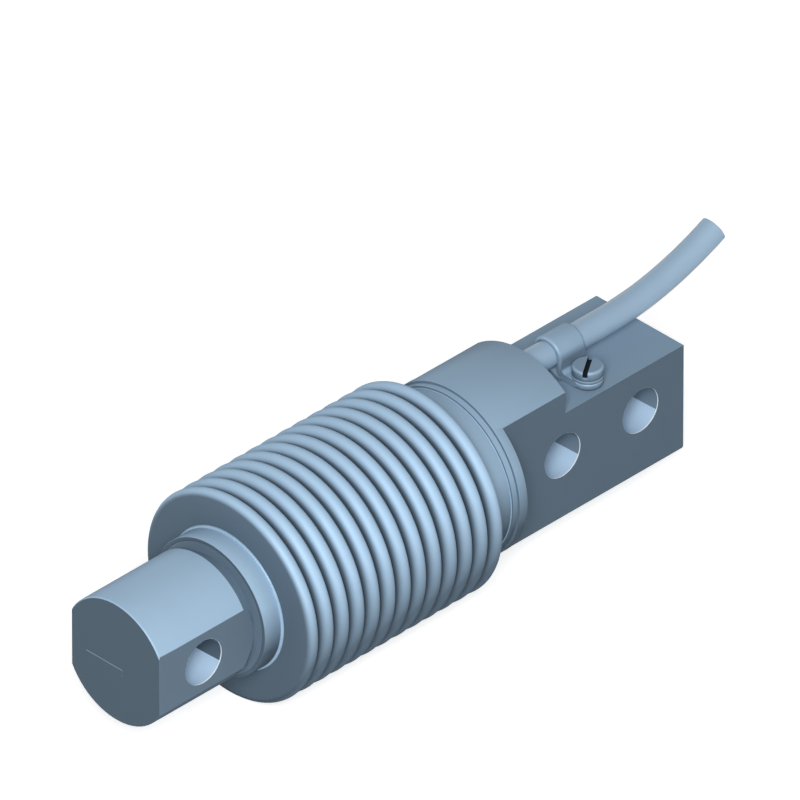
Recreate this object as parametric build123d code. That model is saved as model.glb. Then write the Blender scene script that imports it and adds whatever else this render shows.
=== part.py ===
from build123d import *
import math
import os

# Bellows-sealed bending beam load cell, in millimetres.
# X runs along the beam, from the load end to the cable end. Y runs across the flats and along every
# fixing hole, so it is the direction of the load. Z points up, to the side with the cable.
# The origin is midway between the two mounting holes, on the beam's axis.

# Beam, outside
load_span = 82.0  # load hole to the nearer mounting hole
mount_pitch = 18.0  # between the mounting holes
end_margin = 10.0  # last hole to the end of the block
load_margin = 10.0  # load hole to the face of the load end
hole_d = 8.2  # all three fixing holes, clearance for an 8 mm bolt
flat_width = 20.0  # across the flats, at both ends
load_d = 23.0
load_length = 19.1  # full diameter of the load end, before its back taper
taper_length = 2.4
bar_d = 31.5  # flange and mounting block
edge_chamfer = 0.2
flange_length = 1.8  # full diameter between the steps and the block's flats
land_length = 1.05  # between the two steps
step_rise = 0.45  # cuff to land, and land to flange
mark_drop = 0.9  # scribed mark on the load end's face, below the axis
mark_y = (-1.7, 6.8)
mark_tick = (-1.5, 1.3)  # Y and length of the tick below the mark
mark_width = 0.2
mark_depth = 0.12
step_setback = 0.6  # the step stands this far behind the nearer mounting hole
shelf_drop = 3.9  # low top of the block, below the cable's axis

# Bellows and its load end ring: the folds' roots and the cuff are the tube that it was formed from
fold_count = 13
fold_pitch = 3.518
fold_height = 4.15  # crest above root
groove_gap = 0.7  # clear space between two folds
end_half = 1.1  # middle of an end crest to the end wall
sheet = 0.3
cuff_length = 5.55
ring_slide = 0.3  # the ring passes over the load end with this to spare
ring_wall = 0.7
ring_length = 4.4
ring_lip = 0.5  # the ring reaches this far behind the front wall

# Measuring section, inside the bellows
gauge_width = 17.0  # across the gauge faces
window_d = 11.0  # the two round ends of the window
window_pitch = 15.0
window_slot = 3.0
window_offset = 10.1  # bellows front to the first round end
section_margin = 7.5  # gauge faces run this far past each round end's middle
roof_drop = 4.0  # flat that carries the wiring, below the cable's axis
gauge_size = (7.0, 5.0, 0.12)
strip_size = (3.6, 11.0, 0.5)
ribbon_width = 2.4
ribbon_thick = 0.2
ribbon_clear = 0.4  # ribbon's long run above the gauge's film
jumper_size = (0.3, 0.15)  # height and thickness of a gauge's two jumpers
jumper_pitch = 2.4

# Feedthrough, board and cable entry, on one axis above the beam's
entry_cover = 0.75  # metal left over the cable pocket
board_thick = 0.8
board_size = (11.0, 5.0)
board_gap = 2.4  # board to the flange face
shell_d = 4.2
shell_wall = 0.4
shell_length = 3.0
glass_length = 2.4
pin_d = 0.44
pin_circle_r = 0.95
pin_rear = 1.6  # pins stand out of the shell by this much
wire_bore_d = 3.6
pocket_d = 6.0
pocket_depth = 8.0
jacket_in = 6.6  # jacket held inside the pocket
seal_recess = 0.3
core_d = 0.9
resistor_size = (0.6, 1.2, 2.2)
resistor_pitch = 2.6

# Cable, clip and screw
cable_d = 4.8
clip_gap = 0.06
strap = 0.7
fold_gap = 0.05  # hairline between the clip's two tails
clip_bend = 1.1  # middle of the strap, where it turns out to the screw
clip_band = 6.0
clip_tail = 5.2
clip_x = 0.3
screw_side = 6.55  # screw axis from the cable's axis
screw_d = 3.0
screw_length = 8.0
screw_gap = 0.05
head_d = 5.3
head_height = 1.7
head_chamfer = 0.3
slot_width = 0.8
slot_depth = 0.85
slot_turn = 34.0  # slot from the X axis, degrees
washer_d = 5.4
washer_hole_d = 3.2
washer_thick = 0.5
screw_room = 0.5  # hole goes on past the screw's tip

# Free cable, chosen by hand: X and Z from its exit in the step's face to the cut end
cable_route = [
    (0.0, 0.0),
    (11.4, 0.0),
    (23.24, 0.06),
    (31.72, 1.36),
    (40.2, 4.0),
    (44.43, 5.99),
]

# Stations along X
load_x = -(mount_pitch / 2 + load_span)
face_x = load_x - load_margin
rear_x = mount_pitch / 2 + end_margin
collar_x = face_x + load_length + taper_length
front_x = collar_x + ring_length - ring_lip
first_crest_x = front_x + end_half
last_crest_x = first_crest_x + (fold_count - 1) * fold_pitch
wall_x = last_crest_x + end_half
seat_x = wall_x + sheet
shoulder_x = wall_x + cuff_length
flange_x = shoulder_x + land_length
flats_x = flange_x + flange_length
step_x = -mount_pitch / 2 + step_setback
window_x = front_x + window_offset
section_x = window_x - section_margin
section_end_x = window_x + window_pitch + section_margin
board_x = seat_x - board_gap - board_thick
pocket_x = step_x - pocket_depth
jacket_x = step_x - jacket_in
pin_end_x = seat_x + shell_length + pin_rear

# Radii and heights
bar_r = bar_d / 2
load_r = load_d / 2
half_flat = flat_width / 2
core_r = load_r + ring_slide
ring_r = core_r + ring_wall
land_r = bar_r - step_rise
tube_r = land_r - step_rise
seat_r = tube_r - sheet
crest_r = tube_r + fold_height
fold_half = (fold_pitch - groove_gap) / 2
entry_height = bar_r - entry_cover - pocket_d / 2
shelf_height = entry_height - shelf_drop
roof_height = entry_height - roof_drop
half_gauge = gauge_width / 2
clip_r = cable_d / 2 + clip_gap
tail_low = shelf_height + strap / 2
tail_high = tail_low + strap + fold_gap
washer_z = shelf_height + 2 * strap + fold_gap
head_z = washer_z + washer_thick
pin_places = [
    (pin_circle_r * math.cos(math.radians(a)), pin_circle_r * math.sin(math.radians(a)))
    for a in (45, 135, 225, 315)
]


def box(x, y, z):
    """A box between two values on each axis."""
    size = [high - low for low, high in (x, y, z)]
    middle = [(low + high) / 2 for low, high in (x, y, z)]
    return Pos(*middle) * Box(*size)


def rod(radius, x0, x1, y=0.0, z=0.0):
    """A round bar along X."""
    return Pos((x0 + x1) / 2, y, z) * Rot(0, 90, 0) * Cylinder(radius, x1 - x0)


def turned(points):
    """A body turned about the X axis, from its half section in X and radius."""
    section = make_face(Plane.XZ * Polyline(*points, close=True))
    return revolve(section, axis=Axis.X)


def cross_hole(x):
    """A fixing hole along Y, through both flats."""
    return Pos(x, 0, 0) * Rot(90, 0, 0) * Cylinder(hole_d / 2, flat_width + 2)


def side_cuts(x, half, reach):
    """What milling takes off both sides to leave flats at plus and minus half."""
    return [box(x, sorted((s * half, s * reach)), (-reach, reach)) for s in (-1, 1)]


def beam_body():
    """The spring body, one turned and milled piece of stainless steel."""
    c = edge_chamfer
    body = turned(
        [
            (face_x, 0),
            (face_x, load_r - c),
            (face_x + c, load_r),
            (face_x + load_length, load_r),
            (collar_x, half_flat),
            (collar_x, core_r),
            (seat_x, core_r),
            (seat_x, seat_r),
            (shoulder_x, seat_r),
            (shoulder_x, land_r),
            (flange_x, land_r),
            (flange_x, bar_r),
            (rear_x - c, bar_r),
            (rear_x, bar_r - c),
            (rear_x, 0),
        ]
    )
    reach = bar_r + 1
    cuts = side_cuts((face_x - 1, collar_x), half_flat, reach)
    cuts += side_cuts((flats_x, rear_x + 1), half_flat, reach)
    cuts += side_cuts((section_x, section_end_x), half_gauge, reach)
    cuts.append(box((step_x, rear_x + 1), (-reach, reach), (shelf_height, reach)))
    cuts.append(box((section_x, seat_x), (-core_r, core_r), (roof_height, core_r)))
    cuts += [cross_hole(x) for x in (load_x, -mount_pitch / 2, mount_pitch / 2)]
    cuts += window_cuts()
    cuts += entry_cuts() + face_mark()
    cuts.append(screw_hole())
    return body - cuts


def window_cuts():
    """Two round holes along Z joined by a slot: the thin webs beside them carry the gauges."""
    ends = [Pos(x, 0, 0) * Cylinder(window_d / 2, bar_d) for x in (window_x, window_x + window_pitch)]
    half = window_slot / 2
    return ends + [box((window_x, window_x + window_pitch), (-half, half), (-core_r, core_r))]


def entry_cuts():
    """Stepped bore from the flange face to the step: feedthrough seat, wire bore, cable pocket."""
    seat = rod(shell_d / 2, seat_x - 1, seat_x + shell_length, z=entry_height)
    bore = rod(wire_bore_d / 2, seat_x - 1, step_x + 1, z=entry_height)
    pocket = rod(pocket_d / 2, pocket_x, step_x + 1, z=entry_height)
    return [seat, bore, pocket]


def screw_hole():
    """Blind hole for the clip's screw, down from the shelf."""
    depth = screw_length - (head_z - shelf_height) + screw_room
    return Pos(clip_x, -screw_side, shelf_height - depth / 2 + 0.5) * Cylinder(
        screw_d / 2 + screw_gap, depth + 1
    )


def face_mark():
    """Scribed line with a tick below it, on the load end's face."""
    depth = (face_x - 1, face_x + mark_depth)
    top = mark_width / 2 - mark_drop
    y, length = mark_tick
    line = box(depth, mark_y, (top - mark_width, top))
    tick = box(depth, (y - mark_width / 2, y + mark_width / 2), (top - length, top))
    return [line, tick]


def bellows():
    """Formed folds between a front wall down to the ring and a straight cuff on the body.

    The folds are closed inside, behind a plain bore: nothing opens the bellows or shows through it.
    """
    outline = [(front_x, ring_r), (front_x, crest_r)]
    for fold in range(fold_count - 1):
        x = first_crest_x + fold * fold_pitch
        groove = (x + fold_half, x + fold_pitch - fold_half)
        outline += [(groove[0], crest_r), (groove[0], tube_r), (groove[1], tube_r), (groove[1], crest_r)]
    outline += [(wall_x, crest_r), (wall_x, tube_r), (shoulder_x, tube_r), (shoulder_x, seat_r)]
    outline += [(front_x + sheet, seat_r), (front_x + sheet, ring_r)]
    return turned(outline)


def load_end_ring():
    """Turned ring that closes the bellows at the load end, welded to the body's collar."""
    end_x = collar_x + ring_length
    return turned([(collar_x, core_r), (collar_x, ring_r), (end_x, ring_r), (end_x, core_r)])


def strain_gauge(x, side):
    """Foil gauge on its film, cemented over one thin web."""
    length, width, thick = gauge_size
    y = sorted((side * half_gauge, side * (half_gauge + thick)))
    return box((x - length / 2, x + length / 2), y, (-width / 2, width / 2))


def terminal_strip(side):
    """Solder pads midway between the gauges of one side."""
    length, height, thick = strip_size
    x = window_x + window_pitch / 2
    y = sorted((side * half_gauge, side * (half_gauge + thick)))
    return box((x - length / 2, x + length / 2), y, (-height / 2, height / 2))


def gauge_jumpers(side):
    """Two jumpers from each gauge to the terminal strip of one side."""
    height, thick = jumper_size
    y = sorted((side * half_gauge, side * (half_gauge + thick)))
    strip_half, gauge_half = strip_size[0] / 2, gauge_size[0] / 2
    middle = window_x + window_pitch / 2
    spans = [
        (window_x + gauge_half, middle - strip_half),
        (middle + strip_half, window_x + window_pitch - gauge_half),
    ]
    heights = [z * jumper_pitch / 2 for z in (-1, 1)]
    return Compound(
        children=[box(x, y, (z - height / 2, z + height / 2)) for x in spans for z in heights]
    )


def gauge_ribbon(side):
    """Flat lead: along the gauge face, up its rear end and over the roof to the board's foot."""
    start = window_x + window_pitch / 2 + strip_size[0] / 2
    low, t = half_gauge, ribbon_thick
    height = gauge_size[1] / 2 + ribbon_clear
    turn_x = section_end_x - ribbon_width
    outer = sorted((side * low, side * (low + t)))
    run = box((start, section_end_x), outer, (height, height + ribbon_width))
    rise = box((turn_x, section_end_x), outer, (height, roof_height + t))
    inner = low - 2 * ribbon_width
    over = box(
        (turn_x, section_end_x),
        sorted((side * inner, side * (low + t))),
        (roof_height, roof_height + t),
    )
    along = box(
        (turn_x, board_x),
        sorted((side * inner, side * (inner + ribbon_width))),
        (roof_height, roof_height + t),
    )
    return run + rise + over + along


def compensation_board():
    """Small board that stands on the roof flat, soldered to the ends of the feedthrough's pins."""
    width, height = board_size
    return box(
        (board_x, board_x + board_thick), (-width / 2, width / 2), (roof_height, roof_height + height)
    )


def board_resistor(place):
    """One trimming resistor on the board's front, left, middle or right of its foot."""
    depth, height, width = resistor_size
    y = place * resistor_pitch
    z = roof_height + ribbon_thick + 0.4
    return box((board_x - depth, board_x), (y - width / 2, y + width / 2), (z, z + height))


def feedthrough_shell():
    """Metal sleeve of the feedthrough, in its seat in the flange face."""
    shell = rod(shell_d / 2, seat_x, seat_x + shell_length, z=entry_height)
    return shell - rod(shell_d / 2 - shell_wall, seat_x - 1, seat_x + shell_length + 1, z=entry_height)


def feedthrough_glass():
    """Glass seal between the sleeve and the pins."""
    x = seat_x + (shell_length - glass_length) / 2
    glass = rod(shell_d / 2 - shell_wall, x, x + glass_length, z=entry_height)
    return glass - [rod(pin_d / 2, seat_x - 1, pin_end_x, y, entry_height + z) for y, z in pin_places]


def feedthrough_pins():
    """Four pins, from the board through the glass to the cable's cores."""
    start = board_x + board_thick
    return Compound(
        children=[rod(pin_d / 2, start, pin_end_x, y, entry_height + z) for y, z in pin_places]
    )


def cable_core(place):
    """One insulated core, from its pin to the end of the jacket."""
    y, z = pin_places[place]
    return rod(core_d / 2, pin_end_x, jacket_x, y, entry_height + z)


def cable_root():
    """The stretch of jacket held in the pocket."""
    return rod(cable_d / 2, jacket_x, step_x, z=entry_height)


def cable_seal():
    """Rubber bush pressed in round the jacket."""
    end_x = step_x - seal_recess
    bush = rod(pocket_d / 2, jacket_x, end_x, z=entry_height)
    return bush - rod(cable_d / 2, jacket_x - 1, step_x, z=entry_height)


def cable():
    """Free stretch of cable: straight runs and arcs, each arc as large as its two runs allow."""
    points = [Vector(step_x + x, 0, entry_height + z) for x, z in cable_route]
    radii = []
    for before, corner, after in zip(points, points[1:], points[2:]):
        turn = math.radians((corner - before).get_angle(after - corner))
        shorter = min((corner - before).length, (after - corner).length)
        radii.append(0.45 * shorter / math.tan(turn / 2))
    print("cable bend radii", [round(radius, 1) for radius in radii])
    path = FilletPolyline(*points, radius=radii)
    section = Plane(path @ 0, z_dir=path % 0) * Circle(cable_d / 2)
    tube = sweep(section, path=path)
    ideal = math.pi * cable_d**2 / 4 * path.length
    print(f"cable length {path.length:.2f}, volume over section times length {tube.volume / ideal:.5f}")
    return tube


def cable_clip():
    """Strap folded round the cable, with both tails under the screw."""
    r = clip_r + strap / 2
    end = screw_side + clip_tail / 2
    bend = clip_bend
    drop = entry_height - r - tail_low
    lean = math.radians(28)
    curve = drop / (2 * (1 - math.cos(lean)))
    foot = 2 * curve * math.sin(lean)
    half = (foot / 2, tail_low + drop / 2)
    with BuildLine() as middle:
        Line((end, tail_low), (foot, tail_low))
        TangentArc((foot, tail_low), half, tangent=(-1, 0))
        TangentArc(half, (0, entry_height - r), tangent=(-math.cos(lean), math.sin(lean)))
        ThreePointArc((0, entry_height - r), (-r, entry_height), (0, entry_height + r))
        ThreePointArc(
            (0, entry_height + r),
            (r * math.sqrt(0.5), entry_height + r * math.sqrt(0.5)),
            (r, entry_height),
        )
        Line((r, entry_height), (r, tail_high + bend))
        TangentArc((r, tail_high + bend), (r + bend, tail_high), tangent=(0, -1))
        Line((r + bend, tail_high), (end, tail_high))
    section = make_face(offset(middle.wires()[0], strap / 2, side=Side.BOTH, closed=True))
    side_plane = Plane(origin=(clip_x, 0, 0), x_dir=(0, -1, 0), z_dir=(-1, 0, 0))
    folded = extrude(side_plane * section, clip_band / 2, both=True)
    hole = Pos(clip_x, -screw_side, tail_high) * Cylinder(washer_hole_d / 2, 6 * strap)
    return (folded & clip_plan()) - hole


def clip_plan():
    """Outline of the clip from above: a wide band round the cable and a narrower rounded tail."""
    back = clip_r + strap
    band = Pos(clip_x, 0) * Rectangle(clip_band, 2 * back)
    tail = Pos(clip_x, -screw_side / 2) * Rectangle(clip_tail, screw_side)
    tail += Pos(clip_x, -screw_side) * Circle(clip_tail / 2)
    return extrude(band + tail, bar_d)


def clip_washer():
    """Plain washer under the screw head."""
    ring = Cylinder(washer_d / 2, washer_thick) - Cylinder(washer_hole_d / 2, washer_thick)
    return Pos(clip_x, -screw_side, washer_z + washer_thick / 2) * ring


def clip_screw():
    """Slotted cheese-head screw, its thread plain."""
    head = Cylinder(head_d / 2, head_height)
    head = chamfer(head.edges().sort_by(Axis.Z)[-1], head_chamfer)
    slot = Rot(0, 0, slot_turn) * Pos(0, 0, head_height / 2) * Box(2 * head_d, slot_width, 2 * slot_depth)
    shank = Pos(0, 0, -(head_height + screw_length) / 2) * Cylinder(screw_d / 2, screw_length)
    return Pos(clip_x, -screw_side, head_z + head_height / 2) * (head - slot + shank)


nodes = {
    "beam_body": beam_body(),
    "bellows": bellows(),
    "load_end_ring": load_end_ring(),
    "compensation_board": compensation_board(),
    "feedthrough_shell": feedthrough_shell(),
    "feedthrough_glass": feedthrough_glass(),
    "feedthrough_pins": feedthrough_pins(),
    "cable_root": cable_root(),
    "cable_seal": cable_seal(),
    "cable": cable(),
    "cable_clip": cable_clip(),
    "clip_washer": clip_washer(),
    "clip_screw": clip_screw(),
}
for side_name, side in (("right", -1), ("left", 1)):
    nodes[f"strain_gauge_load_{side_name}"] = strain_gauge(window_x, side)
    nodes[f"strain_gauge_mount_{side_name}"] = strain_gauge(window_x + window_pitch, side)
    nodes[f"terminal_strip_{side_name}"] = terminal_strip(side)
    nodes[f"gauge_jumpers_{side_name}"] = gauge_jumpers(side)
    nodes[f"gauge_ribbon_{side_name}"] = gauge_ribbon(side)
for place, name in ((-1, "zero_resistor"), (0, "span_resistor"), (1, "temperature_resistor")):
    nodes[name] = board_resistor(place)
for place, colour in enumerate(("red", "black", "green", "white")):
    nodes[f"core_{colour}"] = cable_core(place)

os.makedirs("parts", exist_ok=True)
for name, shape in nodes.items():
    export_step(shape, f"parts/{name}.step")
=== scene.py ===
import math

import bmesh
import bpy
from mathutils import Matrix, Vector

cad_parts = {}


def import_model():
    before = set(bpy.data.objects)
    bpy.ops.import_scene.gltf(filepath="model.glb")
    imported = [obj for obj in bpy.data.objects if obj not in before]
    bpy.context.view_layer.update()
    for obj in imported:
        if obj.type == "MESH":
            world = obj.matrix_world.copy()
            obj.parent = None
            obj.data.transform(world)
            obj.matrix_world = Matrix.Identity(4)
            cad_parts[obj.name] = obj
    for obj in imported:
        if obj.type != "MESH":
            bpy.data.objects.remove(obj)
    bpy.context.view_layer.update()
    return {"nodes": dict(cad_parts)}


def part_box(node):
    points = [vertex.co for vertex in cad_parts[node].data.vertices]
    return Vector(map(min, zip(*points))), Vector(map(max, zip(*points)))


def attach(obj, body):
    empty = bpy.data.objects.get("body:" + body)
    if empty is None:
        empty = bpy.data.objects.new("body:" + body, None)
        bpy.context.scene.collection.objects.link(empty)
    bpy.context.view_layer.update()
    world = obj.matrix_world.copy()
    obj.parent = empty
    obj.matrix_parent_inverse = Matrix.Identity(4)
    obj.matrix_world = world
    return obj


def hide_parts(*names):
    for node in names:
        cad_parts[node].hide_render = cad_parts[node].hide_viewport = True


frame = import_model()

# Bellows-sealed bending beam load cell, in metres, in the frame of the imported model: X along the
# beam towards the cable end, Y along the bolt holes, Z up to the side with the cable.

MM = 0.001
nodes = frame["nodes"]

# View of the photograph: a nearly parallel view from the load end's right, looking down
view_azimuth = -45.0
view_elevation = 34.85
view_lens = 1500.0
view_target = Vector((-17.602, 18.682, 1.097)) * MM
view_distance = 5420.4 * MM

# Cable: the route's points, X and Z in mm from its exit in the step's face to the cut end
cable_r = 2.4 * MM
cable_exit = Vector((-8.4, 0, 12.0)) * MM
cable_route = [
    (0.0, 0.0),
    (11.4, 0.0),
    (23.24, 0.06),
    (31.72, 1.36),
    (40.2, 4.0),
    (44.43, 5.99),
]

# Cut end of the cable: how wide its parts are and how far each stands proud
cut_root = 0.25 * MM
screen_r = (2.0 * MM, 2.16 * MM)
screen_proud = 0.12 * MM
filler_r = 1.97 * MM
filler_proud = 0.05 * MM
core_turns = (45, 135, 225, 315)
core_ring = 0.95 * MM
core_r = 0.45 * MM
core_proud = 0.16 * MM
core_round = 0.05 * MM
strand_count = 7
strand_ring = 0.17 * MM
strand_r = 0.08 * MM
strand_proud = 0.24 * MM
strand_stagger = 0.02 * MM
fine_round = 0.03 * MM

# Spring body
body_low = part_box("beam_body")[0]
end_margin = 10 * MM
mount_half = 9 * MM
hole_places = (body_low.x + end_margin, -mount_half, mount_half)
hole_r = 4.1 * MM
flat_half = 10 * MM
taper_x = body_low.x + 19.1 * MM
mark_x = body_low.x + 0.12 * MM
mark_reach = 9 * MM

# Bellows and its ring
bellows_low, bellows_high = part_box("bellows")
ring_low, ring_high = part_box("load_end_ring")
fold_count = 13
fold_pitch = 3.518 * MM
fold_height = 4.15 * MM
groove_half = 0.35 * MM
end_half = 1.1 * MM
sheet_thick = 0.3 * MM
crest_r = bellows_high.z
root_r = crest_r - fold_height
ring_r = ring_high.z
fold_half = fold_pitch / 2 - groove_half
first_crest = bellows_low.x + end_half
last_crest = first_crest + (fold_count - 1) * fold_pitch
wall_x = last_crest + end_half
cuff_end = bellows_high.x
ring_bead_r = 0.38 * MM
cuff_bead_r = 0.12 * MM

# Gauges, their strips and ribbons lie about one middle
strip_x = -58 * MM
gauge_reach = 7.5 * MM
pad_pitch = 2.4 * MM
ribbon_x = (-45.4 * MM, -43 * MM)
ribbon_foot = 2.9 * MM
ribbon_inner = 3.7 * MM
roof_z = 8 * MM
resistor_pitch = 2.6 * MM
glaze_half = 0.72 * MM

# Clip, washer and screw
clip_outer = 3.16 * MM
shelf_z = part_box("cable_clip")[0].z
tail_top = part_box("clip_washer")[0].z
head_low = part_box("clip_washer")[1].z
screw_low, screw_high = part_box("clip_screw")
screw_x = (screw_low.x + screw_high.x) / 2
screw_y = (screw_low.y + screw_high.y) / 2
slot_turn = 34.0
slot_half = 0.42 * MM
slot_floor = screw_high.z - 0.85 * MM
thread_r = 1.5 * MM
thread_pitch = 0.5 * MM
thread_depth = 0.3 * MM
thread_plain = 0.6 * MM
rows_per_turn = 8
thread_flank = 1.25
thread_overlap = 0.02 * MM
tip_taper = 0.25 * MM

# Edges: how far they are rounded, and the slack allowed when they are picked by place
edge_break = 0.13 * MM
small_edge_break = 0.08 * MM
strap_round = 0.5 * MM
edge_slack = 0.05 * MM
skin_slack = 0.03 * MM
bend_clear = 0.8 * MM
screw_clear = 1.8 * MM

# Meshes: what counts as the same point, one flat face and a sharp edge, in metres and degrees
same_point = 0.001 * MM
flat_angle = 0.5
sharp_angle = 40
plain_corners = 8

# Steps round a whole turn, and along each arc of a fold
bellows_steps = 128
bead_steps = 160
thread_steps = 48
cut_steps = 24
fold_steps = 6


# Modelling helpers


def deselect():
    """Leaves nothing selected before an operator runs."""
    bpy.ops.object.select_all(action="DESELECT")


def activate(*pieces):
    """Selects these pieces alone and makes the first of them active."""
    deselect()
    for piece in pieces:
        piece.select_set(True)
    bpy.context.view_layer.objects.active = pieces[0]


def join(*pieces):
    """Joins pieces into the first of them."""
    activate(*pieces)
    bpy.ops.object.join()
    return pieces[0]


def settle(piece, location, rotation=(0, 0, 0)):
    """Turns and moves a piece, and puts its place into its mesh."""
    piece.rotation_euler = rotation
    piece.location = location
    activate(piece)
    bpy.ops.object.transform_apply(location=True, rotation=True)


def arc(x, r, radius, start, stop, steps):
    """Points of an arc beside the axis; angles in degrees, 0 away from the axis and 90 along +X."""
    turns = [math.radians(start + (stop - start) * i / steps) for i in range(steps + 1)]
    return [(x + radius * math.sin(a), r + radius * math.cos(a)) for a in turns]


def lathe(name, outline, steps, closed=False):
    """Draws an outline in X and radius point by point and spins it about the X axis."""
    deselect()
    bpy.ops.mesh.primitive_plane_add(size=MM, location=(outline[0][0], 0, outline[0][1]))
    piece = bpy.context.object
    piece.name = piece.data.name = name
    bpy.ops.object.transform_apply(location=True)
    bpy.ops.object.mode_set(mode="EDIT")
    bpy.ops.mesh.select_all(action="SELECT")
    bpy.ops.mesh.merge(type="CENTER")
    bpy.ops.mesh.select_all(action="SELECT")
    ends = outline[1:] + ([outline[0]] if closed else [])
    for (x0, r0), (x1, r1) in zip(outline, ends):
        step = {"value": (x1 - x0, 0, r1 - r0)}
        bpy.ops.mesh.extrude_vertices_move(TRANSFORM_OT_translate=step)
    bpy.ops.mesh.select_all(action="SELECT")
    bpy.ops.mesh.remove_doubles(threshold=same_point)
    bpy.ops.mesh.spin(steps=steps, angle=2 * math.pi, center=(0, 0, 0), axis=(1, 0, 0))
    bpy.ops.mesh.select_all(action="SELECT")
    bpy.ops.mesh.remove_doubles(threshold=same_point)
    bpy.ops.mesh.normals_make_consistent(inside=False)
    bpy.ops.object.mode_set(mode="OBJECT")
    return piece


def apply_modifier(piece, kind, **settings):
    """Adds a modifier, sets it and applies it."""
    activate(piece)
    modifier = piece.modifiers.new(kind.title(), kind)
    for name, value in settings.items():
        setattr(modifier, name, value)
    bpy.ops.object.modifier_apply(modifier=modifier.name)


def smooth(piece, angle=30):
    """Smooth shading that stays crisp at edges over an angle."""
    activate(piece)
    bpy.ops.object.shade_smooth_by_angle(angle=math.radians(angle))


def copy_of(source, name):
    """A new piece with its own copy of another's mesh."""
    piece = bpy.data.objects.new(name, source.data.copy())
    piece.data.name = name
    bpy.context.scene.collection.objects.link(piece)
    return piece


def joined_copy(node, name):
    """A copy of a rigid node with its triangles joined into faces."""
    piece = copy_of(nodes[node], name)
    activate(piece)
    bpy.ops.mesh.customdata_custom_splitnormals_clear()
    bpy.ops.object.mode_set(mode="EDIT")
    bpy.ops.mesh.select_all(action="SELECT")
    bpy.ops.mesh.remove_doubles(threshold=same_point)
    bpy.ops.mesh.dissolve_limited(angle_limit=math.radians(flat_angle))
    bpy.ops.object.mode_set(mode="OBJECT")
    return piece


def break_edges(piece, width, segments=2, chosen=None, clamp=True):
    """Rounds a piece's sharp edges, or those of them whose two ends are both chosen.

    Faces with many corners are plane ones with a round edge or a hole, and their shading is flat.
    """
    mesh = bmesh.new()
    mesh.from_mesh(piece.data)
    weight = mesh.edges.layers.float.new("bevel_weight_edge")
    for edge in mesh.edges:
        turn = edge.calc_face_angle() if len(edge.link_faces) == 2 else 0
        kept = chosen is None or all(chosen(vertex.co) for vertex in edge.verts)
        edge[weight] = float(turn > math.radians(sharp_angle) and kept)
    mesh.to_mesh(piece.data)
    mesh.free()
    apply_modifier(
        piece, "BEVEL", width=width, segments=segments, limit_method="WEIGHT",
        use_clamp_overlap=clamp, miter_outer="MITER_ARC",
    )
    smooth(piece)
    for face in piece.data.polygons:
        face.use_smooth = len(face.vertices) <= plain_corners
    return piece


def dress(piece, material, *replaced, slot=None):
    """Gives a piece its material, its body and the nodes that it stands for."""
    piece.data.materials.clear()
    piece.data.materials.append(material)
    if replaced:
        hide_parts(*replaced)
    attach(piece, "root")
    return piece


# Camera


def aim(name, data, target, azimuth, elevation, distance):
    """Adds a camera or a lamp that looks at a target from an azimuth and elevation in degrees."""
    turn = math.radians(azimuth)
    rise = math.radians(elevation)
    level = Vector((math.sin(turn), -math.cos(turn), 0)) * math.cos(rise)
    back = level + Vector((0, 0, math.sin(rise)))
    piece = bpy.data.objects.new(name, data)
    piece.location = target + back * distance
    piece.rotation_euler = (-back).to_track_quat("-Z", "Y").to_euler()
    bpy.context.scene.collection.objects.link(piece)
    return piece


def camera():
    """A long lens far away, at the photograph's angle."""
    data = bpy.data.cameras.new("camera")
    data.lens = view_lens
    data.sensor_width = 36.0
    data.clip_end = 3 * view_distance
    piece = aim("camera", data, view_target, view_azimuth, view_elevation, view_distance)
    bpy.context.scene.camera = piece


camera()


# Shader maths


class Link:
    """An output socket, with the operators that add Math nodes."""

    def __init__(self, tree, socket):
        self.tree = tree
        self.socket = socket

    def maths(self, operation, *values):
        return self.tree.node("ShaderNodeMath", {"operation": operation}, *values)

    def __add__(self, other):
        return self.maths("ADD", self, other)

    def __sub__(self, other):
        return self.maths("SUBTRACT", self, other)

    def __rsub__(self, other):
        return self.maths("SUBTRACT", other, self)

    def __mul__(self, other):
        return self.maths("MULTIPLY", self, other)

    def __truediv__(self, other):
        return self.maths("DIVIDE", self, other)

    def __rtruediv__(self, other):
        return self.maths("DIVIDE", other, self)

    def __abs__(self):
        return self.maths("ABSOLUTE", self)

    def __pow__(self, other):
        return self.maths("POWER", self, other)

    def __lt__(self, other):
        return self.maths("LESS_THAN", self, other)

    def __gt__(self, other):
        return self.maths("GREATER_THAN", self, other)

    def least(self, other):
        return self.maths("MINIMUM", self, other)

    def most(self, other):
        return self.maths("MAXIMUM", self, other)

    def fraction(self):
        return self.maths("FRACT", self)

    __radd__ = __add__
    __rmul__ = __mul__


class Tree:
    """The nodes of a material or of the world."""

    def __init__(self, owner):
        owner.use_nodes = True
        self.nodes = owner.node_tree.nodes
        self.links = owner.node_tree.links

    def plug(self, socket, value):
        """Puts a link, a colour or a number into a socket."""
        if isinstance(value, Link):
            self.links.new(value.socket, socket)
        elif socket.type == "RGBA":
            socket.default_value = (*value, 1.0)
        else:
            socket.default_value = value

    def node(self, kind, settings=None, *values, output=0, **named):
        """Adds a node: its settings first, then what goes into its sockets, by place or by name."""
        made = self.nodes.new(kind)
        for name, value in (settings or {}).items():
            setattr(made, name, value)
        by_name = [(made.inputs[name], value) for name, value in named.items()]
        for socket, value in [*zip(made.inputs, values), *by_name]:
            if value is not None:
                self.plug(socket, value)
        return Link(self, made.outputs[output]) if made.outputs else None


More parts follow.
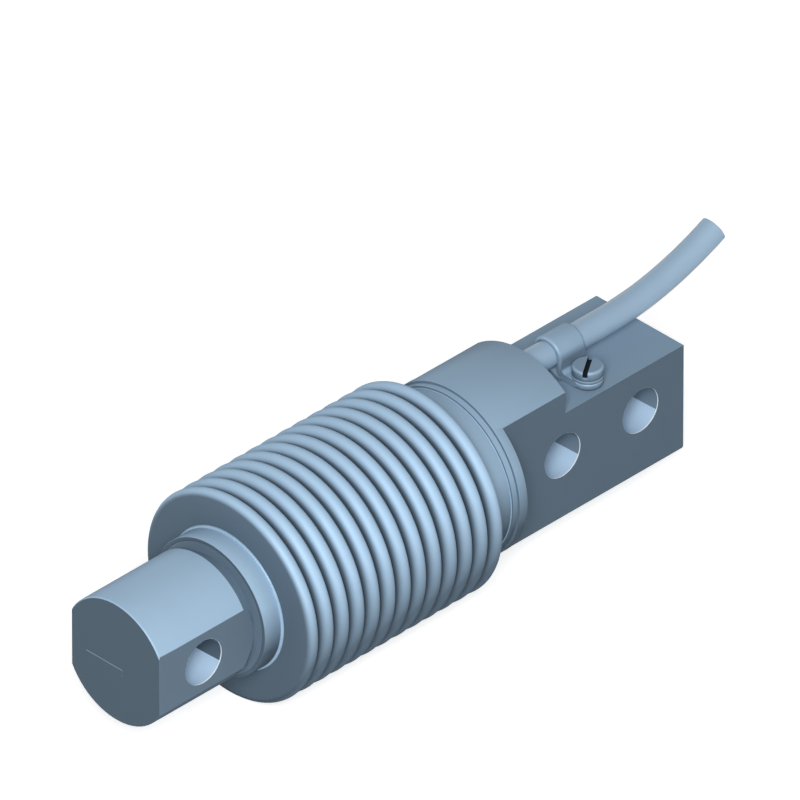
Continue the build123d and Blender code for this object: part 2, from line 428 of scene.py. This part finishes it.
class Paint(Tree):
    """One material: its Principled shader and the nodes before it."""

    def __init__(self, name, **constants):
        self.material = bpy.data.materials.new(name)
        super().__init__(self.material)
        self.shader = self.nodes["Principled BSDF"]
        self.set(**constants)

    def set(self, **values):
        """Sets the shader's sockets by name, as in base_color, to numbers, colours or links."""
        for name, value in values.items():
            title = name.title().replace("_", " ").replace("Ior", "IOR")
            self.plug(self.shader.inputs[title], value)
        return self.material

    def place(self):
        """Object coordinates."""
        return self.node("ShaderNodeTexCoord", output="Object")

    def axes(self, names):
        """Object coordinates along the named axes, each as a number."""
        whole = self.place()
        return [self.node("ShaderNodeSeparateXYZ", None, whole, output=axis) for axis in names]

    def lean(self, axis):
        """The surface's normal along an axis, -1 to 1."""
        normal = self.node("ShaderNodeNewGeometry", output="Normal")
        return self.node("ShaderNodeSeparateXYZ", None, normal, output=axis)

    def facing(self, axis):
        """How squarely the surface faces along an axis either way, 0 to 1."""
        return abs(self.lean(axis))

    def square_to(self, axis):
        """1 on faces that lie across an axis, otherwise 0."""
        return self.facing(axis) > squarely

    def shade_below(self, colour):
        """A colour with painted shade that darkens it towards the underside."""
        low = (underside_shade_start - self.lean("Z")).most(0) * underside_shade_rise
        return self.blend(low.least(underside_shade_most), colour, tint(underside_shade_light))

    def noise(self, scale, detail=3.0):
        """Soft noise in space."""
        inputs = {"Vector": self.place(), "Scale": scale, "Detail": detail}
        return self.node("ShaderNodeTexNoise", None, **inputs)

    def streaks(self, track, scale, detail=3.0):
        """Soft noise along one number."""
        inputs = {"W": track, "Scale": scale, "Detail": detail}
        return self.node("ShaderNodeTexNoise", {"noise_dimensions": "1D"}, **inputs)

    def blend(self, share, first, second):
        """A colour between two colours, past the Mix node's sockets for numbers and vectors."""
        inputs = (share, *[None] * 5, first, second)
        return self.node("ShaderNodeMix", {"data_type": "RGBA"}, *inputs, output=2)

    def bump(self, height, depth, strength=0.3):
        """Fine relief in the surface's normal."""
        return self.node("ShaderNodeBump", None, Strength=strength, Distance=depth, Height=height)


def length_of(a, b):
    """Distance from an axis, from the two coordinates across it."""
    return (a * a + b * b) ** 0.5


def near(value, middle, reach):
    """1 where a value is within reach of a middle, otherwise 0."""
    return abs(value - middle) < reach


def sway(noise, width):
    """Noise as a change to both sides, this wide in all."""
    return (noise - 0.5) * width


# Steels share one cool grey. Most lightnesses below are painted light and shade: turned rounds
# are brighter than milled flats, the top face brighter than the sides, end faces darker, and the
# load end is a little brighter than the block.

steel_hue = (0.73, 1.04, 1.36)
steel_share = 0.12
steel_shine = 0.0
turned_light = 0.43
load_light = 0.53
# Painted shade on the load end's back taper
taper_shade_light = 0.30
# Painted light on the walls of the bolt holes and painted highlights on their rims
bore_painted_light = (0.47, 0.64, 0.83)
rim_painted_highlight = (0.90, 0.97, 1.0)
# Painted shade on the flats and end faces, a little lighter on the load end's flats
flat_shade_light = 0.168
load_flat_shade_light = 0.205
end_face_shade_light = 0.13
# Painted light on the collar's face, which lies in shade
collar_painted_light = 0.24
# Painted light on the top face
shelf_painted_light = 0.37
scribed_light = 0.26
# Painted shade on the bellows' cuff
cuff_shade_light = 0.45
bead_light = 0.5375
patch_mix = 0.25
patch_share = 0.8

# Painted shade: darker undersides, and deeper shade between the folds and in the screw's slot
underside_shade_light = 0.02
underside_shade_start = 0.4
underside_shade_rise = 1.1
underside_shade_most = 0.75
groove_shade_light = 0.03
groove_shade_start = 0.3
groove_shade_rise = 1.6
groove_shade_most = 0.9
slot_shade_light = 0.02

# Slack around a surface that a finish picks by its place
face_slack = 0.3 * MM
bore_slack = 0.2 * MM
mark_slack = 0.06 * MM
rim_depth = 0.16 * MM
cuff_clear = 0.5 * MM

# How squarely a face lies across an axis, and what the cutter and the welder left
squarely = 0.9
nearly_square = 0.97
mill_centre = -140 * MM
bead_ripples = 150


def tint(light):
    """The steel's cool grey at a given lightness."""
    return tuple(light * share for share in steel_hue)


def spring_body_finish():
    """Bright turned rounds; milled flats and faces, back taper and undersides in painted shade; top
    face, collar face and reamed holes in painted light, with painted highlights on the holes' rims.
    """
    paint = Paint("milled_stainless", specular_ior_level=steel_shine)
    x, y, z = paint.axes("XYZ")
    ends, across, level = [paint.square_to(axis) for axis in "XYZ"]
    sides = across * (abs(y) < flat_half + face_slack)
    shelf = level * near(z, shelf_z, face_slack)
    flats = sides.most(shelf)
    holes = [length_of(x - hole, z) < hole_r + bore_slack for hole in hole_places]
    bores = holes[0].most(holes[1]).most(holes[2])
    load_end = x < bellows_low.x
    tone = paint.noise(110)
    patches = tone * patch_mix

    turned = paint.blend(load_end, tint(turned_light), tint(load_light))
    turned = paint.blend(patches, turned, tint(turned_light * patch_share))
    # Painted shade on the back taper
    turned = paint.blend(load_end * (x > taper_x), turned, tint(taper_shade_light))
    # Painted light on the walls of the holes
    turned = paint.blend(bores * (1 - across), turned, bore_painted_light)
    # Painted shade towards the underside
    turned = paint.shade_below(turned)

    # Flats and end faces: painted shade, lighter on the load end
    milled = paint.blend(load_end, tint(flat_shade_light), tint(load_flat_shade_light))
    # Painted light on the collar's face
    faced = paint.blend(x > taper_x, tint(end_face_shade_light), tint(collar_painted_light))
    milled = paint.blend(ends, milled, faced)
    milled = paint.blend(patches, milled, tint(flat_shade_light * patch_share))

    colour = paint.blend(sides.most(ends), turned, milled)
    # Painted light on the top face
    colour = paint.blend(shelf, colour, tint(shelf_painted_light))
    # Painted highlights on the holes' rims
    rims = bores * (abs(y) > flat_half - rim_depth) * (paint.facing("Y") < nearly_square)
    colour = paint.blend(rims, colour, rim_painted_highlight)
    colour = paint.blend(ends * near(x, mark_x, mark_slack), colour, tint(scribed_light))

    worked = x * (1 - ends) + length_of(y, z) * ends
    swept = length_of(x - mill_centre, z)
    marks = paint.streaks(worked * (1 - flats) + swept * flats, 3600)
    rough = 0.44 + 0.06 * flats + sway(marks, 0.08) + sway(tone, 0.06)
    normal = paint.bump(marks, 0.004 * MM)
    return paint.set(base_color=colour, roughness=rough, metallic=steel_share, normal=normal)


def sheet_steel(name, light, scale, rough, painted_end_share=1.0, painted_top_share=1.0, zones=()):
    """Steel with faint lines along its working and slow changes of tone.

    Faces across X and Z take their own share of the lightness as painted light or shade,
    zones add their own painted shade, and undersides get painted shade.
    """
    paint = Paint(name, specular_ior_level=steel_shine)
    x, y, z = paint.axes("XYZ")
    ends = paint.facing("X") ** 4
    tone = paint.noise(130)
    colour = paint.blend(tone, tint(light), tint(light * 0.93))
    # Painted light or shade on faces across X, and on faces across Z
    if painted_end_share != 1:
        colour = paint.blend(ends, colour, tint(light * painted_end_share))
    if painted_top_share != 1:
        tops = paint.facing("Z") > nearly_square
        colour = paint.blend(tops, colour, tint(light * painted_top_share))
    for zone in zones:
        mask, shade = zone(x, y, z)
        colour = paint.blend(mask, colour, shade)
    # Painted shade towards the underside
    colour = paint.shade_below(colour)
    lines = paint.streaks(x * (1 - ends) + length_of(y, z) * ends, scale)
    roughness = rough + sway(lines, 0.06) + sway(tone, 0.05)
    normal = paint.bump(lines, 0.003 * MM)
    return paint.set(base_color=colour, roughness=roughness, metallic=steel_share, normal=normal)


def cuff_shade(x, y, z):
    """Painted shade: the cuff is darker than the folds."""
    return x > wall_x + cuff_clear, tint(cuff_shade_light)


def groove_shade(x, y, z):
    """Painted shade, darker the deeper it lies between the folds."""
    depth = (crest_r - length_of(y, z)) / (crest_r - root_r)
    groove_darkening = (depth * groove_shade_rise - groove_shade_start).most(0).least(groove_shade_most)
    return groove_darkening * (x > first_crest) * (x < last_crest), tint(groove_shade_light)


def slot_shade(x, y, z):
    """Painted shade in the screw's slot."""
    turn = math.radians(slot_turn)
    across = (y - screw_y) * math.cos(turn) - (x - screw_x) * math.sin(turn)
    return (abs(across) < slot_half) * (z > slot_floor - skin_slack), tint(slot_shade_light)


def weld_steel():
    """Fused bead: ripples round the joint and a slightly brighter skin."""
    paint = Paint("weld_bead", specular_ior_level=steel_shine)
    y, z = paint.axes("YZ")
    turn = paint.node("ShaderNodeMath", {"operation": "ARCTAN2"}, y, z)
    ripple = paint.node("ShaderNodeMath", {"operation": "SINE"}, turn * bead_ripples)
    tone = paint.noise(900, detail=2)
    return paint.set(
        base_color=paint.blend(tone, tint(bead_light), tint(turned_light)),
        roughness=0.36 + sway(tone, 0.06) + 0.03 * ripple,
        metallic=steel_share,
        normal=paint.bump(ripple, 0.02 * MM, 0.5),
    )


def plated_metal(name, light, dark, rough, scale):
    """Small plated or drawn metal parts with a fine uneven skin."""
    paint = Paint(name, metallic=1.0)
    tone = paint.noise(scale)
    return paint.set(
        base_color=paint.blend(tone, light, dark),
        roughness=rough + sway(tone, 0.1),
        normal=paint.bump(tone, 0.004 * MM),
    )


# Cable, wiring and sensing parts

film_light = (0.62, 0.30, 0.05)
film_dark = (0.50, 0.22, 0.03)
foil_light = (0.62, 0.56, 0.46)
copper_light = (0.80, 0.42, 0.24)
copper_dark = (0.68, 0.33, 0.18)
mask_light = (0.02, 0.20, 0.09)
mask_dark = (0.015, 0.14, 0.06)
track_light = (0.05, 0.32, 0.14)
laminate_light = (0.45, 0.42, 0.24)
solder_light = (0.72, 0.70, 0.66)
core_colours = {
    "red": ((0.55, 0.02, 0.02), (0.46, 0.015, 0.015)),
    "black": ((0.016, 0.016, 0.018), (0.03, 0.03, 0.032)),
    "green": ((0.02, 0.30, 0.07), (0.015, 0.24, 0.05)),
    "white": ((0.78, 0.78, 0.75), (0.70, 0.70, 0.67)),
}


def sheath(name, light, dark, rough, scale=2500):
    """Extruded insulation: a fine satin skin with slow changes of tone."""
    paint = Paint(name, metallic=0.0)
    grain = paint.noise(scale)
    tone = paint.noise(160, detail=2)
    return paint.set(
        base_color=paint.blend(tone, light, dark),
        roughness=rough + sway(grain, 0.12),
        normal=paint.bump(grain, 0.015 * MM, 0.25),
    )


def printed_film(name, pattern, metal):
    """Amber film with metal on it where its pattern says."""
    paint = Paint(name)
    foil = pattern(paint)
    tone = paint.noise(700, detail=2)
    film = paint.blend(tone, film_light, film_dark)
    return paint.set(
        base_color=paint.blend(foil, film, metal),
        metallic=foil,
        roughness=0.38 - 0.06 * foil + sway(tone, 0.06),
        normal=paint.bump(foil, 0.01 * MM, 0.6),
    )


def gauge_pattern(paint):
    """Fine grid along the web, its end loops and two soldering tabs towards the strip."""
    grid_x = 1.7 * MM
    grid_z = 1.3 * MM
    line_pitch = 0.26 * MM
    line_share = 0.55
    loop_share = 0.78
    loop_half = 0.14 * MM
    tab_place = (-2.55 * MM, 1.15 * MM)
    tab_half = (0.65 * MM, 0.6 * MM)
    x, z = paint.axes("XZ")
    along = abs(x - strip_x) - gauge_reach
    across = abs(z)
    lines = ((z / line_pitch).fraction() < line_share) * (abs(along) < grid_x)
    in_loop = near(abs(along), grid_x, loop_half)
    loops = ((z / (2 * line_pitch)).fraction() < loop_share) * in_loop
    tabs = near(along, tab_place[0], tab_half[0]) * near(across, tab_place[1], tab_half[1])
    grid = lines.most(loops) * (across < grid_z)
    return paint.square_to("Y") * grid.most(tabs)


def strip_pattern(paint):
    """Two columns of solder pads."""
    column_place = 1.05 * MM
    column_half = 0.45 * MM
    row_share = 0.34
    strip_reach = 4.9 * MM
    x, z = paint.axes("XZ")
    column = near(abs(x - strip_x), column_place, column_half)
    row = near((z / pad_pitch).fraction(), 0.5, row_share) * (abs(z) < strip_reach)
    return column * row * paint.square_to("Y")


def ribbon_pattern(paint):
    """Four traces that follow the ribbon round its two corners."""
    trace_pitch = 0.6 * MM
    trace_share = 0.2
    x, y, z = paint.axes("XYZ")
    on_roof = z > roof_z - edge_slack
    up_side = (z - ribbon_foot).least(ribbon_x[1] - x)
    over = (x - ribbon_x[0]).least(abs(y) - ribbon_inner)
    across = up_side * (1 - on_roof) + over * on_roof
    trace = near((across / trace_pitch).fraction(), 0.5, trace_share)
    return trace * paint.square_to("Y").most(paint.square_to("Z"))


def board_finish():
    """Green laminate: glass weave under the mask, tracks and tinned lands on the front."""
    thread = 0.45 * MM
    track_pitch = 1.3 * MM
    track_share = 0.14
    track_middle = roof_z + 3.15 * MM
    track_half = 1.25 * MM
    land_half = 0.42 * MM
    land_gap = 0.3 * MM
    paint = Paint("board_laminate")
    y, z = paint.axes("YZ")
    warp, weft = [abs((place / thread).fraction() - 0.5) for place in (y, z)]
    weave = (warp + weft) * 0.5
    height = z - cable_exit.z
    front = paint.square_to("X")
    tracks = near((y / track_pitch).fraction(), 0.5, track_share)
    tracks = tracks * near(z, track_middle, track_half)
    lands = near(length_of(y, height), core_ring, land_half)
    tin = front * lands * (abs(y) > land_gap) * (abs(height) > land_gap)
    mask = paint.blend(weave, mask_light, mask_dark)
    mask = paint.blend(front * tracks, mask, track_light)
    bare = paint.blend(front, laminate_light, mask)
    return paint.set(
        base_color=paint.blend(tin, bare, solder_light),
        metallic=tin,
        roughness=0.42 + 0.1 * weave - 0.12 * tin,
        normal=paint.bump(tracks * front + weave * 0.4, 0.02 * MM, 0.5),
    )


def resistor_finish():
    """Chip resistor: dark glassy middle between two tinned ends."""
    paint = Paint("resistor_chip")
    y = paint.axes("Y")[0]
    from_middle = abs((y / resistor_pitch + 0.5).fraction() - 0.5) * resistor_pitch
    ends = from_middle > glaze_half
    tone = paint.noise(1800, detail=2)
    glaze = paint.blend(tone, (0.030, 0.035, 0.045), (0.02, 0.024, 0.03))
    tin = paint.blend(tone, (0.74, 0.72, 0.68), (0.62, 0.60, 0.57))
    return paint.set(
        base_color=paint.blend(ends, glaze, tin),
        metallic=ends,
        roughness=0.28 + 0.1 * ends + sway(tone, 0.08),
        normal=paint.bump(tone, 0.006 * MM),
    )


def glass_finish():
    """Dark green sealing glass with a few tiny bubbles."""
    bubble_size = 0.16
    paint = Paint("sealing_glass", transmission_weight=0.35, ior=1.52)
    cells = paint.node("ShaderNodeTexVoronoi", None, Vector=paint.place(), Scale=3500.0)
    bubbles = cells < bubble_size
    tone = paint.noise(900, detail=2)
    return paint.set(
        base_color=paint.blend(tone, (0.03, 0.16, 0.10), (0.02, 0.10, 0.07)),
        roughness=0.12 + 0.2 * bubbles,
        normal=paint.bump(bubbles, 0.01 * MM, 0.4),
    )


body_steel = spring_body_finish()
# End faces take painted shade on the ring and the bellows and painted light on the strap; the
# screw's top face takes painted shade
ring_steel = sheet_steel("turned_ring_steel", light=0.52, scale=3000, rough=0.42, painted_end_share=0.5)
bellows_steel = sheet_steel(
    "drawn_bellows_sheet", light=0.63, scale=2600, rough=0.56,
    painted_end_share=0.42, zones=(cuff_shade, groove_shade),
)
clip_steel = sheet_steel("stamped_strip", light=0.45, scale=3400, rough=0.42, painted_end_share=1.15)
screw_steel = sheet_steel(
    "turned_screw_steel", light=0.45, scale=4000, rough=0.4, painted_top_share=0.75, zones=(slot_shade,)
)
bead_steel = weld_steel()
jacket = sheath("cable_jacket", tint(0.47), tint(0.44), rough=0.5, scale=1400)
rubber = sheath("seal_rubber", (0.022, 0.022, 0.024), (0.034, 0.034, 0.036), rough=0.62)
fibre = sheath("cotton_filler", (0.62, 0.60, 0.54), (0.48, 0.46, 0.41), rough=0.85, scale=3800)
core_paints = {
    colour: sheath(f"core_{colour}", light, dark, rough=0.42)
    for colour, (light, dark) in core_colours.items()
}
copper = plated_metal("copper_strand", copper_light, copper_dark, rough=0.34, scale=2400)
tinned = plated_metal("tinned_braid", (0.66, 0.64, 0.60), (0.50, 0.48, 0.45), 0.4, scale=2600)
nickel = plated_metal("nickel_shell", (0.70, 0.67, 0.60), (0.60, 0.57, 0.51), 0.3, scale=1500)
gilt = plated_metal("gilt_pin", (0.95, 0.70, 0.30), (0.86, 0.60, 0.24), 0.26, scale=1500)


# Cable


def stub(radius, proud, edge):
    """Outline of a short rod that stands out of the cut end, with its rim rounded."""
    rim = arc(proud - edge, radius - edge, edge, 0, 90, 3)
    return [(-cut_root, 0), (-cut_root, radius), *rim, (proud, 0)]


def on_cut_end(piece, place, material, slot):
    """Sets a part made along X square on the cable's cut end, off its middle by Y and Z."""
    (x0, z0), (x1, z1) = cable_route[-2:]
    tilt = math.atan2(z1 - z0, x1 - x0)
    settle(piece, (0, *place))
    settle(piece, cable_exit + Vector((x1, 0, z1)) * MM, (0, -tilt, 0))
    smooth(piece, angle=50)
    return dress(piece, material, slot=slot)


def strand_bundle():
    """Bare strands of one core, one in the middle and six round it, cut a little unevenly."""
    strands = []
    for place in range(strand_count):
        turn = 2 * math.pi * place / (strand_count - 1)
        reach = strand_ring if place else 0.0
        outline = stub(strand_r, strand_proud - strand_stagger * (place % 3), fine_round)
        strand = lathe("strand", outline, cut_steps)
        settle(strand, (0, reach * math.cos(turn), reach * math.sin(turn)))
        strands.append(strand)
    return join(*strands)


def cut_end():
    """Screen, filler and four cores with bare strands, as a cutter leaves them."""
    inner, outer = screen_r
    tube = [(-cut_root, inner), (screen_proud, inner), (screen_proud, outer), (-cut_root, outer)]
    screen = lathe("cut_screen", tube, cut_steps, closed=True)
    filler = lathe("cut_filler", stub(filler_r, filler_proud, fine_round), cut_steps)
    parts = [
        on_cut_end(screen, (0, 0), tinned, "jumper_wire"),
        on_cut_end(filler, (0, 0), fibre, "cable_jacket"),
    ]
    core = lathe("core", stub(core_r, core_proud, core_round), cut_steps)
    strands = strand_bundle()
    for degrees, (colour, paint) in zip(core_turns, core_paints.items()):
        turn = math.radians(degrees)
        place = (core_ring * math.cos(turn), core_ring * math.sin(turn))
        sheathed = copy_of(core, f"cut_core_{colour}")
        bare = copy_of(strands, f"cut_strands_{colour}")
        parts.append(on_cut_end(sheathed, place, paint, f"core_{colour}"))
        parts.append(on_cut_end(bare, place, copper, "jumper_wire"))
    bpy.data.objects.remove(core)
    bpy.data.objects.remove(strands)
    return parts


def signal_cable(end_parts):
    """Free stretch of the cable on one smooth curve."""
    curve = bpy.data.curves.new("signal_cable", "CURVE")
    curve.dimensions = "3D"
    curve.resolution_u = 24
    curve.bevel_depth = cable_r
    curve.bevel_resolution = 10
    curve.use_fill_caps = True
    spline = curve.splines.new("NURBS")
    spline.points.add(len(cable_route) - 1)
    for point, (x, z) in zip(spline.points, cable_route):
        point.co = (*(cable_exit + Vector((x, 0, z)) * MM), 1.0)
    spline.order_u = 3
    spline.use_endpoint_u = True
    piece = bpy.data.objects.new("signal_cable", curve)
    bpy.context.scene.collection.objects.link(piece)
    dress(piece, jacket, "cable", slot="cable_jacket")


# Bellows and weld beads


def bellows_outline():
    """Front wall, rounded folds with narrow grooves between them, rear wall and cuff."""
    fold_r = crest_r - fold_half
    end_r = crest_r - end_half
    groove_r = root_r + groove_half
    points = [(bellows_low.x, ring_r)]
    points += arc(first_crest, end_r, end_half, -90, 0, fold_steps)[:-1]
    for fold in range(fold_count - 1):
        crest = first_crest + fold * fold_pitch
        points += arc(crest, fold_r, fold_half, 0, 90, fold_steps)
        points += arc(crest + fold_pitch / 2, groove_r, groove_half, -90, -270, fold_steps)
        points += arc(crest + fold_pitch, fold_r, fold_half, -90, 0, fold_steps)[:-1]
    points += arc(last_crest, end_r, end_half, 0, 90, fold_steps)
    points += arc(wall_x + groove_half, groove_r, groove_half, -90, -180, 4)
    points += [(cuff_end, root_r)]
    return points


def formed_bellows():
    """Bellows of formed sheet with its true thickness."""
    piece = lathe("formed_bellows", bellows_outline(), bellows_steps)
    apply_modifier(piece, "SOLIDIFY", thickness=sheet_thick, offset=-1)
    smooth(piece, angle=40)
    dress(piece, bellows_steel, "bellows", slot="bellows_steel")


def weld_bead(name, x, r, size):
    """A fused bead all round a joint of the bellows."""
    piece = lathe(name, arc(x, r, size, 0, 360, 12)[:-1], bead_steps, closed=True)
    smooth(piece, angle=60)
    dress(piece, bead_steel, slot="bellows_steel")


# Turned, milled and stamped pieces


def worn_edge(place):
    """False at the scribed mark and where the flats run out into the load end's back taper."""
    on_taper = taper_x + edge_slack < place.x < ring_low.x + edge_slack
    at_mark = place.x < mark_x + edge_slack and math.hypot(place.y, place.z) < mark_reach
    return not on_taper and not at_mark


def clip_outside(place):
    """True on the strap's outer skin: round the cable, and on top of and below its two tails."""
    from_cable = math.hypot(place.y, place.z - cable_exit.z)
    from_screw = math.hypot(place.x - screw_x, place.y - screw_y)
    round_cable = from_cable > clip_outer - skin_slack and place.z > tail_top + bend_clear
    past_bend = place.y < -clip_outer - bend_clear
    in_fold = shelf_z + skin_slack < place.z < tail_top - skin_slack
    return from_screw > screw_clear and (round_cable or (past_bend and not in_fold))


def folded_clip():
    """Strap folded round the cable, with its corners well rounded."""
    piece = joined_copy("cable_clip", "folded_clip")
    break_edges(piece, strap_round, segments=6, chosen=clip_outside, clamp=False)
    dress(piece, clip_steel, "cable_clip", slot="clip_steel")


def thread_shank(length):
    """Shank with the true helix of a metric thread, drawn along X from its tapered tip."""
    rows = round(length / thread_pitch * rows_per_turn)
    side = [(length * row / rows, thread_r) for row in range(rows + 1)]
    shank = lathe("thread", [(0, 0), *side, (length, 0)], thread_steps)
    for vertex in shank.data.vertices:
        x, y, z = vertex.co
        radius = math.hypot(y, z)
        if radius > thread_r / 2:
            turn = math.atan2(z, y) / (2 * math.pi)
            wave = abs((x / thread_pitch + turn) % 1 * 2 - 1)
            lead = min(1, x / thread_pitch)
            deep = thread_depth * min(1, thread_flank * wave) + tip_taper * (1 - lead)
            vertex.co.y = y * (radius - deep) / radius
            vertex.co.z = z * (radius - deep) / radius
    settle(shank, (screw_x, screw_y, screw_low.z), (0, -math.pi / 2, 0))
    smooth(shank, angle=40)
    return shank


def threaded_screw():
    """Slotted screw: its head and plain neck from the model, over a threaded shank."""
    head = joined_copy("clip_screw", "turned_screw")
    shank_top = head_low - thread_plain
    cut = {"plane_co": (0, 0, shank_top), "plane_no": (0, 0, 1)}
    activate(head)
    bpy.ops.object.mode_set(mode="EDIT")
    bpy.ops.mesh.select_all(action="SELECT")
    bpy.ops.mesh.bisect(**cut, clear_inner=True, use_fill=True)
    bpy.ops.object.mode_set(mode="OBJECT")
    break_edges(head, small_edge_break)
    shank = thread_shank(shank_top - screw_low.z + thread_overlap)
    dress(join(head, shank), screw_steel, "clip_screw", slot="clip_steel")


signal_cable(cut_end())
formed_bellows()
body = break_edges(joined_copy("beam_body", "machined_body"), edge_break, chosen=worn_edge)
dress(body, body_steel, "beam_body", slot="stainless_steel")
ring = break_edges(joined_copy("load_end_ring", "turned_ring"), small_edge_break)
dress(ring, ring_steel, "load_end_ring", slot="stainless_steel")
weld_bead("ring_weld", bellows_low.x, ring_r, ring_bead_r)
weld_bead("cuff_weld", cuff_end, root_r, cuff_bead_r)
folded_clip()
washer = break_edges(joined_copy("clip_washer", "pressed_washer"), small_edge_break)
dress(washer, clip_steel, "clip_washer", slot="clip_steel")
threaded_screw()


# Nodes of the model that keep their shape


def both(name):
    """The nodes of a part that the right and the left side each have."""
    return f"{name}_right", f"{name}_left"


foil_on_film = printed_film("gauge_foil_on_film", gauge_pattern, foil_light)
carried_over = {
    foil_on_film: both("strain_gauge_load") + both("strain_gauge_mount"),
    printed_film("pads_on_film", strip_pattern, copper_light): both("terminal_strip"),
    printed_film("traces_on_film", ribbon_pattern, copper_light): both("gauge_ribbon"),
    copper: both("gauge_jumpers"),
    board_finish(): ("compensation_board",),
    resistor_finish(): ("zero_resistor", "span_resistor", "temperature_resistor"),
    nickel: ("feedthrough_shell",),
    gilt: ("feedthrough_pins",),
    glass_finish(): ("feedthrough_glass",),
    jacket: ("cable_root",),
    rubber: ("cable_seal",),
}
carried_over |= {paint: (f"core_{colour}",) for colour, paint in core_paints.items()}
for material, names in carried_over.items():
    for name in names:
        nodes[name].material_slots[0].material = material


# Stage and lamps

fill_light = 0.12
floor_white = 0.68
floor_grey = 0.8
floor_size = 4.0
lamp_target = Vector((-30, 0, 0)) * MM
lamp_distance = 1.2
lamp_size = 0.5


def background_rays(tree):
    """1 for a ray from the camera, a mirror or glass, otherwise 0."""
    kinds = ("Is Camera Ray", "Is Glossy Ray", "Is Transmission Ray")
    rays = [tree.node("ShaderNodeLightPath", output=kind) for kind in kinds]
    return rays[0].most(rays[1]).most(rays[2])


def world():
    """White to the camera, to metal and to glass, and a dim fill for everything else."""
    made = bpy.data.worlds.new("soft_room")
    bpy.context.scene.world = made
    room = Tree(made)
    room.nodes.clear()
    seen = room.node("ShaderNodeBackground", Color=(1, 1, 1))
    fill = room.node("ShaderNodeBackground", Color=(fill_light, fill_light, fill_light))
    mixed = room.node("ShaderNodeMixShader", None, background_rays(room), fill, seen)
    room.node("ShaderNodeOutputWorld", Surface=mixed)


def floor():
    """Pale floor under the lowest folds, mostly plain white to the camera: its shadow is faint."""
    deselect()
    bpy.ops.mesh.primitive_plane_add(size=floor_size, location=(0, 0, bellows_low.z))
    piece = bpy.context.object
    piece.name = "floor"
    material = bpy.data.materials.new("pale_floor")
    pale = Tree(material)
    pale.nodes.clear()
    white = pale.node("ShaderNodeEmission", Strength=background_rays(pale) * floor_white)
    lit = pale.node("ShaderNodeBsdfDiffuse", Color=(floor_grey, floor_grey, floor_grey))
    sum_of_both = pale.node("ShaderNodeAddShader", None, lit, white)
    pale.node("ShaderNodeOutputMaterial", Surface=sum_of_both)
    piece.data.materials.append(material)


def lamp(name, azimuth, elevation, power):
    """A square soft lamp aimed at the middle of the object."""
    light = bpy.data.lights.new(name, "AREA")
    light.size = lamp_size
    light.energy = power
    aim(name, light, lamp_target, azimuth, elevation, lamp_distance)


world()
floor()
lamp("key", azimuth=-45, elevation=38, power=12.6)
lamp("back_fill", azimuth=150, elevation=12, power=1.3)
lamp("rear_fill", azimuth=215, elevation=12, power=1.1)
bpy.context.scene.view_settings.view_transform = "Standard"
